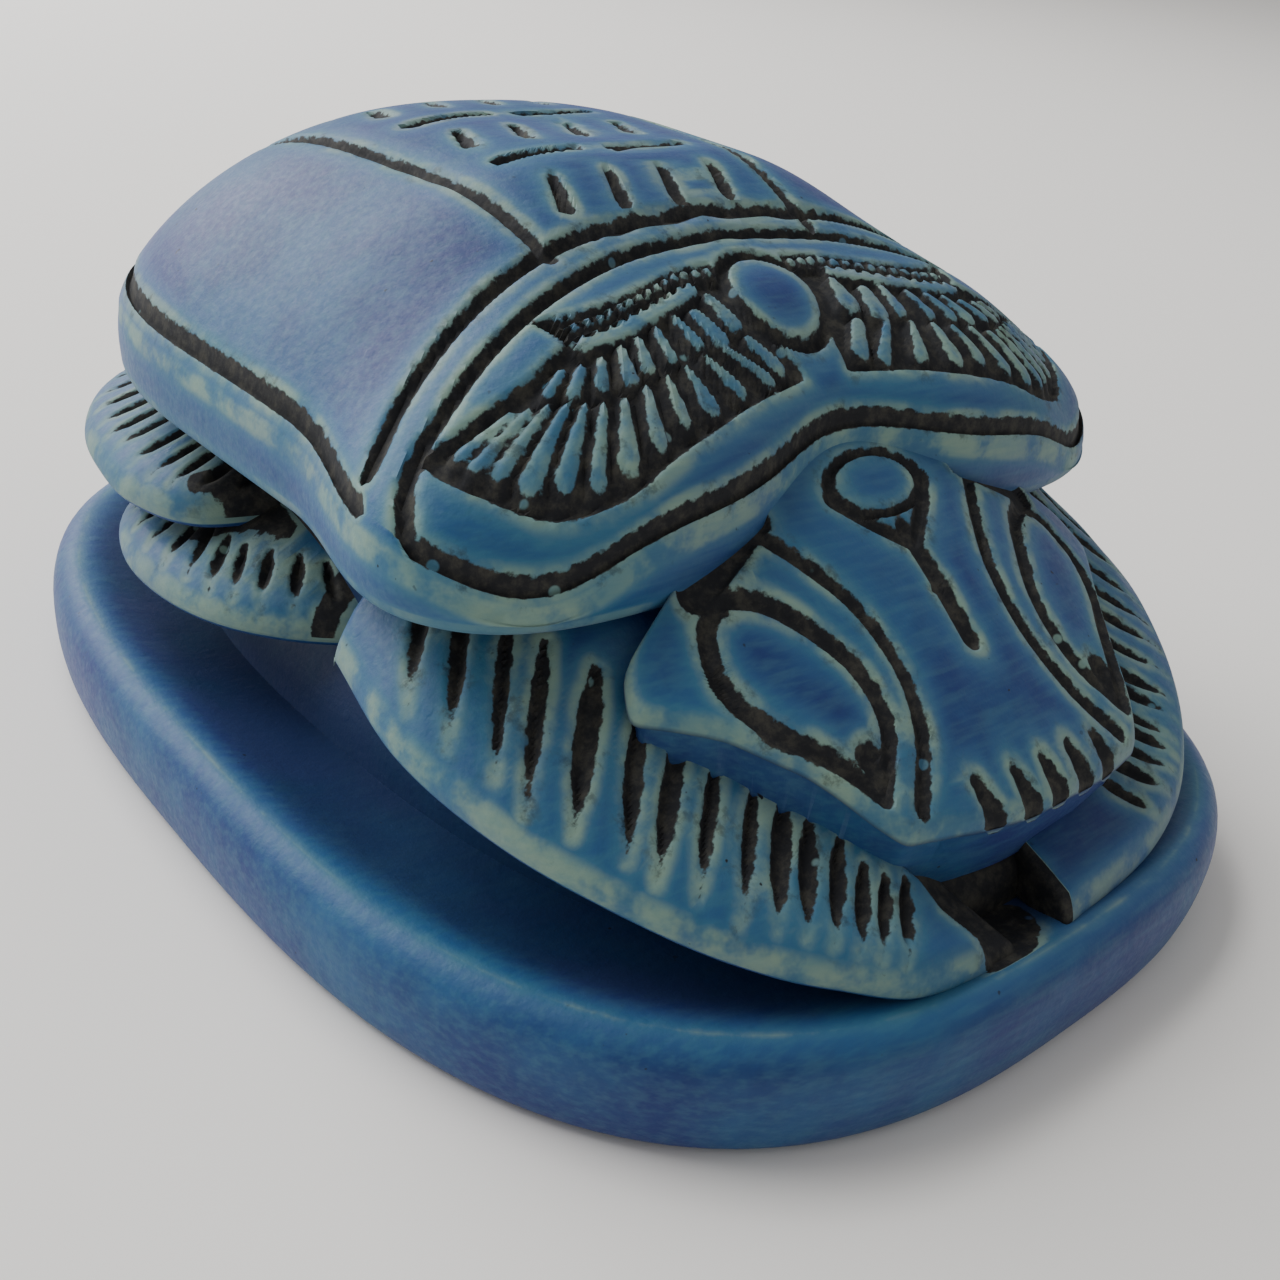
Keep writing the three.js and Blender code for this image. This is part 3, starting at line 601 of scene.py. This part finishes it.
under_paint = np.full(under_x.shape, CLEAR)
under_paint[:3] = FULL_PAINT
shell_paint = np.concatenate([under_paint, np.full(band_x.shape, CLEAR), np.maximum(seam, dome_field)])
band_rim = np.minimum(band_z - BAND_BOTTOM_Z, band_top(band_x, band_y) - band_z)
shell_rim = np.concatenate([np.full(under_x.shape, 0.5), band_rim, dome_rim])
shell_rings = np.concatenate([under_rings, band_rings, dome])
shell = cast_form("shell_form", shell_rings, shell_paint, shell_rim, 0 * shell_rim)

# Head: a wedge that slopes down from under the pronotum to a toothed front edge, with an almond eye on each
# side, a curved line beside it, and a Y-shaped mark below a small raised oval.
HEAD_FRONT_Y = -38.7
HEAD_REAR_Y = -18.0
HEAD_FRONT_Z = 14.2
HEAD_REAR_Z = 29.6
HEAD_FLOOR_Z = 9.0
HEAD_MIDDLE_Y = -28.0
HEAD_CROWN = 3.6
HEAD_CROWN_X = 18.0
HEAD_OUTLINE = [(0, -39), (6, -39), (10.8, -38.4), (12.3, -36.8), (14.6, -33), (17.6, -29.2), (21.6, -25.6),
                (20.6, -23.6), (16, -22), (14.5, -18), (0, -17)]
EYE_OUTER = [(14.3, -23.9), (16, -25), (16.8, -27.4), (15.8, -30.2), (13.9, -32.6), (11.2, -36.6)]
EYE_INNER = [(14.3, -23.9), (12.2, -25.1), (10.2, -27.4), (8.8, -29.8), (8.5, -32), (9, -34), (11.2, -36.6)]
HEAD_LINE = [(9.8, -22.3), (8.2, -24.4), (6.4, -27.4), (5.8, -30.6), (6.1, -32.8), (7.2, -35.4), (9.2, -37.8)]
MIDDLE_X = 0.8
OVAL_Y = -21.7
OVAL_HALF = (3.4, 1.5)
OVAL_RING = 0.9
ARM = [(4.4, -22.0), (2.6, -23.6), (0.4, -25.2)]
STEM = [(0.0, -24.6), (0.1, -27.6), (0, -30.8)]
TEETH_X = [-4.4, -1.2, 1.5, 4.2, 6.9]
TOOTH_Y = (-39.3, -37.4)
TOOTH_SLANT = 0.2
TOOTH_HALF_WIDTHS = (0.95, 0.45)
EYE_TIP = ((10.9, -34.4), (11.1, -36.6), 0.9, 0.3)
HEAD_SPILLS = [((9.2, -21.6), (15.2, -23.0), 0.7, 1.2), ((15.2, -23.0), (14.4, -24.6), 0.9, 0.3)]
EYE_HALF_WIDTH = 0.58
HEAD_LINE_HALF_WIDTH = 0.5
ARM_HALF_WIDTH = 0.55
STEM_HALF_WIDTH = 0.75
HEAD_CARVING = 0.6
HEAD_EDGE = 1.1
HEAD_FLANGE_DROP = 0.5
CORNER_LIFT = 0.5
CORNER_SETBACK = 1.2
CORNER_X = (0.0, 10.0)
CORNER_Y = (-30.0, -37.0)
HEAD_FOOT_RISE = 2.0
HEAD_SIDES = 300
HEAD_TOP_RINGS = 74
OUTLINE_SMOOTHINGS = 3


def head_top(x, y):
    """Ridge height by the share of the way from front to rear, falling off to the sides towards the rear."""
    along = np.clip((y - HEAD_FRONT_Y) / (HEAD_REAR_Y - HEAD_FRONT_Y), 0, 1)
    ridge = HEAD_FRONT_Z + (HEAD_REAR_Z - HEAD_FRONT_Z) * along**0.9
    return ridge - HEAD_CROWN * (np.abs(x) / HEAD_CROWN_X) ** 2.5 * np.sqrt(along + 0.05)


def head_marks(x, y):
    """Paint on the head: eye rings with their filled tips, head lines, the ring and arms of the Y, its stem,
    the paint that ran into the corners beneath the shell, and the tooth notches."""
    away = np.abs(x)
    eye_away = np.minimum(line_distance(away, y, EYE_OUTER), line_distance(away, y, EYE_INNER))
    eyes = EYE_HALF_WIDTH - eye_away
    tips = island(away, y, *EYE_TIP)
    lines = HEAD_LINE_HALF_WIDTH - line_distance(away, y, HEAD_LINE)
    middle = x - MIDDLE_X
    round_oval = np.hypot(middle / OVAL_HALF[0], (y - OVAL_Y) / OVAL_HALF[1])
    ring = OVAL_RING / 2 - np.abs((round_oval - 1) * np.mean(OVAL_HALF) - OVAL_RING / 2)
    arms = ARM_HALF_WIDTH - line_distance(np.abs(middle), y, ARM)
    stem = STEM_HALF_WIDTH - line_distance(middle, y, STEM)
    spills = [island(away, y, *spill) for spill in HEAD_SPILLS]
    teeth = []
    for tooth in TEETH_X:
        front, rear = (tooth + TOOTH_SLANT, TOOTH_Y[0]), (tooth - TOOTH_SLANT, TOOTH_Y[1])
        teeth.append(island(x, y, front, rear, *TOOTH_HALF_WIDTHS))
    return np.maximum.reduce([eyes, tips, lines, ring, arms, stem, *spills, *teeth])


right_half = np.array(HEAD_OUTLINE, dtype=float)
outline = np.vstack([right_half, (right_half * (-1, 1))[-2:0:-1], right_half[:1]])
lengths = np.concatenate([[0], np.cumsum(np.linalg.norm(np.diff(outline, axis=0), axis=1))])
around = np.linspace(0, lengths[-1], HEAD_SIDES, endpoint=False)
outline = np.stack([np.interp(around, lengths, outline[:, k]) for k in range(2)])
for _ in range(OUTLINE_SMOOTHINGS):
    outline = (np.roll(outline, 1, axis=1) + 2 * outline + np.roll(outline, -1, axis=1)) / 4
outline_x, outline_y = outline

# The rings come in from the wedge's foot to its flange, round the edge by a quarter circle and over the top.
head_bend = np.linspace(0, np.pi / 2, 7)
head_scale = np.concatenate([[0.88, 0.93, 0.97], 1 - 0.035 * (1 - np.cos(head_bend)),
                             np.linspace(0.95, 0.03, HEAD_TOP_RINGS)])[:, None]
on_edge = head_scale > 0.9999
head_x = outline_x * head_scale
head_y = HEAD_MIDDLE_Y + (outline_y - HEAD_MIDDLE_Y) * head_scale
head_paint = np.where(on_edge, CLEAR, head_marks(head_x, head_y))
left_corner = smooth(*CORNER_X, -head_x) * smooth(*CORNER_Y, head_y)
whole = head_top(head_x, head_y) + CORNER_LIFT * left_corner
head_y = head_y + CORNER_SETBACK * left_corner
head_z = whole - HEAD_CARVING * smooth(*LINE_SLOPE, head_paint)
head_z[0] = HEAD_FLOOR_Z
head_z[1] = HEAD_FLOOR_Z + HEAD_FOOT_RISE
head_z[2] = whole[2] - HEAD_EDGE - HEAD_FLANGE_DROP
head_z[3:3 + head_bend.size] -= HEAD_EDGE * (1 - np.sin(head_bend))[:, None]
head_paint[:3] = CLEAR
head_rim = (1 - head_scale) * np.hypot(outline_x, outline_y - HEAD_MIDDLE_Y)
head_rim[:3] = UNDER_RIM
# The head's outer edge is painted navy, as shade on the side beneath its rim.
head_shade_navy = np.broadcast_to(1.0 * on_edge, head_rim.shape)
head = cast_form("head_form", np.stack([head_x, head_y, head_z], -1), head_paint, head_rim, head_shade_navy)

# The casting: all the forms above fused into a single body, as they came out of one mould, with fewer
# faces where it is smooth. Only edges sharper than SHARP_ANGLE stay sharp.
TRIANGLES = 190000
SHARP_ANGLE = np.radians(48)

for form in (waist, *legs, shell, head):
    fuse = base.modifiers.new(form.name, "BOOLEAN")
    fuse.operation = "UNION"
    fuse.solver = "MANIFOLD"
    fuse.object = form
fused = bpy.data.meshes.new_from_object(base.evaluated_get(bpy.context.evaluated_depsgraph_get()))
fine_casting = bpy.data.objects.new("fine_casting", fused)
bpy.context.scene.collection.objects.link(fine_casting)
thin = fine_casting.modifiers.new("thin", "DECIMATE")
fused.calc_loop_triangles()
thin.ratio = TRIANGLES / len(fused.loop_triangles)
fused = bpy.data.meshes.new_from_object(fine_casting.evaluated_get(bpy.context.evaluated_depsgraph_get()))
casting = bpy.data.objects.new("scarab_casting", fused)
bpy.context.scene.collection.objects.link(casting)
for form in (fine_casting, base, waist, *legs, shell, head):
    bpy.data.objects.remove(form)
fused.shade_smooth()
fused.set_sharp_from_angle(angle=SHARP_ANGLE)

# Glaze: matt blue, deep in the middle of each field and worn pale beside the carving and along the edges.
# Black paint with ragged edges and small round bubbles lies in the carving. Patterns are sized in mm.
glaze = bpy.data.materials.new("glaze")
glaze.use_nodes = True
fused.materials.clear()
fused.materials.append(glaze)
nodes, links = glaze.node_tree.nodes, glaze.node_tree.links
surface = nodes["Principled BSDF"]
surface.inputs["Specular IOR Level"].default_value = 0.25
MID_BLUE = (0.021, 0.092, 0.215, 1)
DEEP_BLUE = (0.008, 0.027, 0.135, 1)
PALE_BLUE = (0.065, 0.195, 0.245, 1)
WORN_GREEN = (0.27, 0.39, 0.27, 1)
# Lilac is a painted sheen, seen where the surface is at a slant.
LILAC_SHEEN = (0.07, 0.09, 0.28, 1)
# Navy is painted shade, beneath overhangs and in the base's dished top.
SHADE_NAVY = (0.006, 0.022, 0.068, 1)
BLACK_PAINT = (0.012, 0.013, 0.016, 1)
BROWN_PAINT = (0.05, 0.048, 0.04, 1)


def node(kind, sockets, output=0, **settings):
    """A shader node with its settings, each socket given a value or a link, and one of its outputs."""
    made = nodes.new("ShaderNode" + kind)
    for key, value in settings.items():
        setattr(made, key, value)
    for key, value in sockets.items():
        if isinstance(value, bpy.types.NodeSocket):
            links.new(value, made.inputs[key])
        else:
            made.inputs[key].default_value = value
    return made.outputs[output]


def ramp(value, start, end, low=0.0, high=1.0):
    """A smooth rise from low to high as value goes from start to end."""
    sockets = {"Value": value, "From Min": start, "From Max": end, "To Min": low, "To Max": high}
    return node("MapRange", sockets, interpolation_type="SMOOTHSTEP")


def blend(share, first, second):
    """A colour between first and second."""
    return node("Mix", {"Factor": share, "A": first, "B": second}, 2, data_type="RGBA")


def combine(operation, first, second):
    """Two numbers put together by the operation that is named."""
    return node("Math", {0: first, 1: second}, operation=operation)


def times(first, second):
    """The product of two numbers."""
    return combine("MULTIPLY", first, second)


place = node("TexCoord", {}, 3)
in_mm = node("VectorMath", {0: place, "Scale": 1000.0}, operation="SCALE")


def mottle(size, detail=3.0, rough=0.55, where=in_mm):
    """Noise whose patches are about size mm across."""
    return node("TexNoise", {"Vector": where, "Scale": 1 / size, "Detail": detail, "Roughness": rough})


# Paint: black where the mark is above 0, with a ragged edge, and broken by small round bubbles.
mark = node("SeparateXYZ", {0: node("UVMap", {}, uv_map="carving")})
rim_distance = mark.node.outputs[1]
navy_and_shade_share = node("SeparateXYZ", {0: node("UVMap", {}, uv_map="navy_and_shade")})
ragged = combine("ADD", ramp(mottle(0.7, 4.0, 0.6), 0.25, 0.75, -0.1, 0.1), mark)
painted = ramp(ragged, -0.05, 0.06)
cells = node("TexVoronoi", {"Vector": in_mm, "Scale": 0.42}, 0)
cell_tint = node("SeparateXYZ", {0: cells.node.outputs[1]})
bubble = times(ramp(cells, 0.17, 0.11), ramp(cell_tint, 0.6, 0.62))
painted_but_bubbles = times(painted, combine("SUBTRACT", 1.0, times(bubble, 0.9)))

# Blue: deep far from paint and rims, worn pale beside them and brushed in fine streaks. Navy is painted in
# as shade where the second UV map says so, and a painted lilac sheen where the surface is seen at a slant.
broad, patches, fine = mottle(11.0, 3.0), mottle(3.2, 4.0, 0.6), mottle(0.45, 3.0, 0.7)
from_paint = ramp(mark, -0.6, -2.3)
from_rim = ramp(rim_distance, 0.6, 2.8)
plain_field = times(from_paint, from_rim)
deep_share = times(plain_field, ramp(combine("ADD", broad, times(patches, 0.35)), 0.45, 0.85))
blue = blend(deep_share, MID_BLUE, DEEP_BLUE)
beside_paint = times(ramp(mark, -1.35, -0.1), ramp(patches, 0.25, 0.65, 0.45, 1.0))
beside_rim = times(ramp(rim_distance, 1.3, 0.15), ramp(patches, 0.3, 0.6, 0.4, 1.0))
worn = combine("MAXIMUM", beside_paint, beside_rim)
halo = blend(ramp(times(worn, broad), 0.18, 0.5), PALE_BLUE, WORN_GREEN)
worn_blue = blend(times(worn, 0.78), blue, halo)
streak_place = node("Mapping", {"Vector": in_mm, "Scale": (0.16, 1.0, 1.6), "Rotation": (0, 0, 0.35)})
streaks = mottle(0.7, 2.0, 0.6, streak_place)
brushed = blend(ramp(streaks, 0.35, 0.75, 0.0, 0.28), worn_blue, PALE_BLUE)
# Painted shade: navy over the blue where the second UV map is high.
navy_shaded = blend(times(navy_and_shade_share, ramp(broad, 0.3, 0.7, 0.75, 1.0)), brushed, SHADE_NAVY)
# Painted sheen: lilac mixed in where the surface is seen at a slant, standing in for a reflection.
grazing = node("LayerWeight", {"Blend": 0.2}, 1)
painted_sheen = blend(times(grazing, ramp(broad, 0.4, 0.6, 0.2, 0.7)), navy_shaded, LILAC_SHEEN)

# Dirt: a thin black wash beside the paint and a few small pits, under the paint itself.
wash = times(ramp(mark, -1.1, 0.0), ramp(mottle(1.7, 5.0, 0.7), 0.54, 0.68, 0.0, 0.55))
washed = blend(wash, painted_sheen, BLACK_PAINT)
pits = times(ramp(mottle(0.55, 1.0), 0.74, 0.8), ramp(mottle(6.0), 0.5, 0.65))
pitted = blend(pits, washed, BLACK_PAINT)
paint = blend(ramp(mottle(1.1, 4.0, 0.7), 0.4, 0.75), BLACK_PAINT, BROWN_PAINT)
links.new(blend(painted_but_bubbles, pitted, paint), surface.inputs["Base Color"])
roughness = combine("ADD", ramp(worn, 0.0, 1.0, 0.46, 0.58), ramp(fine, 0.3, 0.7, -0.05, 0.06))
links.new(combine("ADD", roughness, times(painted_but_bubbles, 0.18)), surface.inputs["Roughness"])

# Relief too fine for the mesh: lumps, grain, and the step at the edge of the paint.
lumps = node("Bump", {"Height": patches, "Strength": 0.25, "Distance": 0.0004})
grain = node("Bump", {"Height": fine, "Strength": 0.22, "Distance": 0.00012, "Normal": lumps})
hollowed = combine("SUBTRACT", ragged, times(bubble, 0.5))
edge = node("Bump", {"Height": hollowed, "Strength": 0.12, "Distance": 0.0002, "Normal": grain}, invert=True)
links.new(edge, surface.inputs["Normal"])

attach(casting, "root")
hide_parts("scarab")

# Floor and light: a plain pale sheet, a large soft light above and behind, and an even fill from all round.
# Their sizes and places are in metres.
FLOOR_REACH = 3.0
FLOOR_COLOUR = (0.9, 0.88, 0.85, 1)
FLOOR_ROUGHNESS = 0.9
FILL_COLOUR = (0.98, 0.97, 0.96, 1)
FILL_STRENGTH = 0.47
LAMP_WATTS = 13.0
LAMP_SIZE = 0.9
LAMP_PLACE = (-0.2, 0.62, 0.55)
LAMP_AIM = Vector((0, 0, 0.02))

floor_mesh = bpy.data.meshes.new("floor")
floor_corners = [(x * FLOOR_REACH, y * FLOOR_REACH, 0) for x, y in ((-1, -1), (1, -1), (1, 1), (-1, 1))]
floor_mesh.from_pydata(floor_corners, [], [(0, 1, 2, 3)])
floor = bpy.data.objects.new("floor", floor_mesh)
bpy.context.scene.collection.objects.link(floor)
paper = bpy.data.materials.new("pale_floor")
paper.use_nodes = True
paper_surface = paper.node_tree.nodes["Principled BSDF"]
paper_surface.inputs["Base Color"].default_value = FLOOR_COLOUR
paper_surface.inputs["Roughness"].default_value = FLOOR_ROUGHNESS
floor_mesh.materials.append(paper)

world = bpy.data.worlds.new("studio")
bpy.context.scene.world = world
world.use_nodes = True
fill = world.node_tree.nodes["Background"]
fill.inputs["Color"].default_value = FILL_COLOUR
fill.inputs["Strength"].default_value = FILL_STRENGTH
lamp_data = bpy.data.lights.new("soft_light", "AREA")
lamp_data.energy = LAMP_WATTS
lamp_data.size = LAMP_SIZE
lamp = bpy.data.objects.new("soft_light", lamp_data)
lamp.location = LAMP_PLACE
lamp.rotation_euler = (LAMP_AIM - lamp.location).to_track_quat("-Z", "Y").to_euler()
bpy.context.scene.collection.objects.link(lamp)

# Camera: above the head and to its left, tipped a little, at the photograph's angle. Its focal length is
# given in pixels of the photograph.
CAMERA_PLACE = Vector((-70.0, -72.8, 60.7)) * MM
CAMERA_RIGHT = Vector((0.740, -0.661, 0.124))
CAMERA_UP = Vector((0.240, 0.431, 0.870))
FRAME_PIXELS = 1280
FOCAL_PIXELS = 1500
SENSOR_WIDTH = 36

camera_data = bpy.data.cameras.new("camera")
camera_data.sensor_width = SENSOR_WIDTH
camera_data.lens = SENSOR_WIDTH * FOCAL_PIXELS / FRAME_PIXELS
camera_data.clip_start = 5 * MM
camera = bpy.data.objects.new("camera", camera_data)
back = CAMERA_RIGHT.cross(CAMERA_UP).normalized()
side = CAMERA_UP.cross(back).normalized()
camera_turn = Matrix((side, back.cross(side), back)).transposed().to_4x4()
camera.matrix_world = Matrix.Translation(CAMERA_PLACE) @ camera_turn
bpy.context.scene.collection.objects.link(camera)
bpy.context.scene.camera = camera
